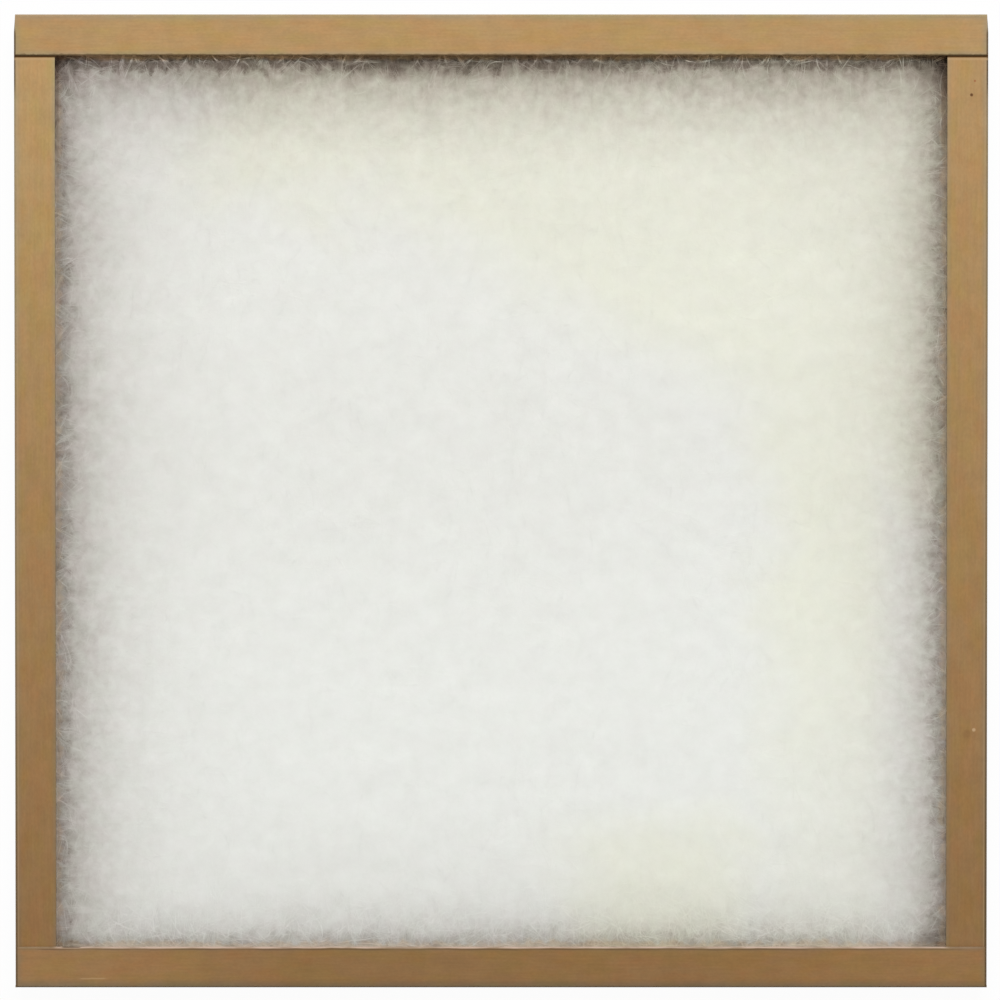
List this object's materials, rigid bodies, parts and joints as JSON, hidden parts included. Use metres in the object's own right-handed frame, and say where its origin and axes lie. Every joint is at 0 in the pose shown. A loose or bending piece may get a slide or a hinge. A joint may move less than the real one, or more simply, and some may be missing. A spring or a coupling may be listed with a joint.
{
  "type": "fiberglass furnace filter",
  "caption": "Square, thin, disposable air filter: a white spun-glass pad held by its edges in a folded brown chipboard channel frame, with an open net bonded over its back.",
  "frame": {"origin": "under the middle of the filter, in the plane of the back lips that it rests on", "axes": "+X to the right across the face, +Y up the face to the top rail, +Z out of the face that the air enters"},
  "size_m": [0.4952, 0.4952, 0.0222],
  "materials": {
    "chipboard": "uncoated brown recycled chipboard, matte, with grain along each rail and mottled flecks",
    "spun_glass": "loose white spun-glass fibres, soft and matte, grey in the shade of the lips",
    "glass_yarn": "flat off-white glass yarn, slightly glossy"
  },
  "bodies": {
    "root": {"top_rail": "chipboard", "bottom_rail": "chipboard", "left_rail": "chipboard", "right_rail": "chipboard", "media_pad": "spun_glass", "backing_net": "glass_yarn"}
  },
  "joints": []
}
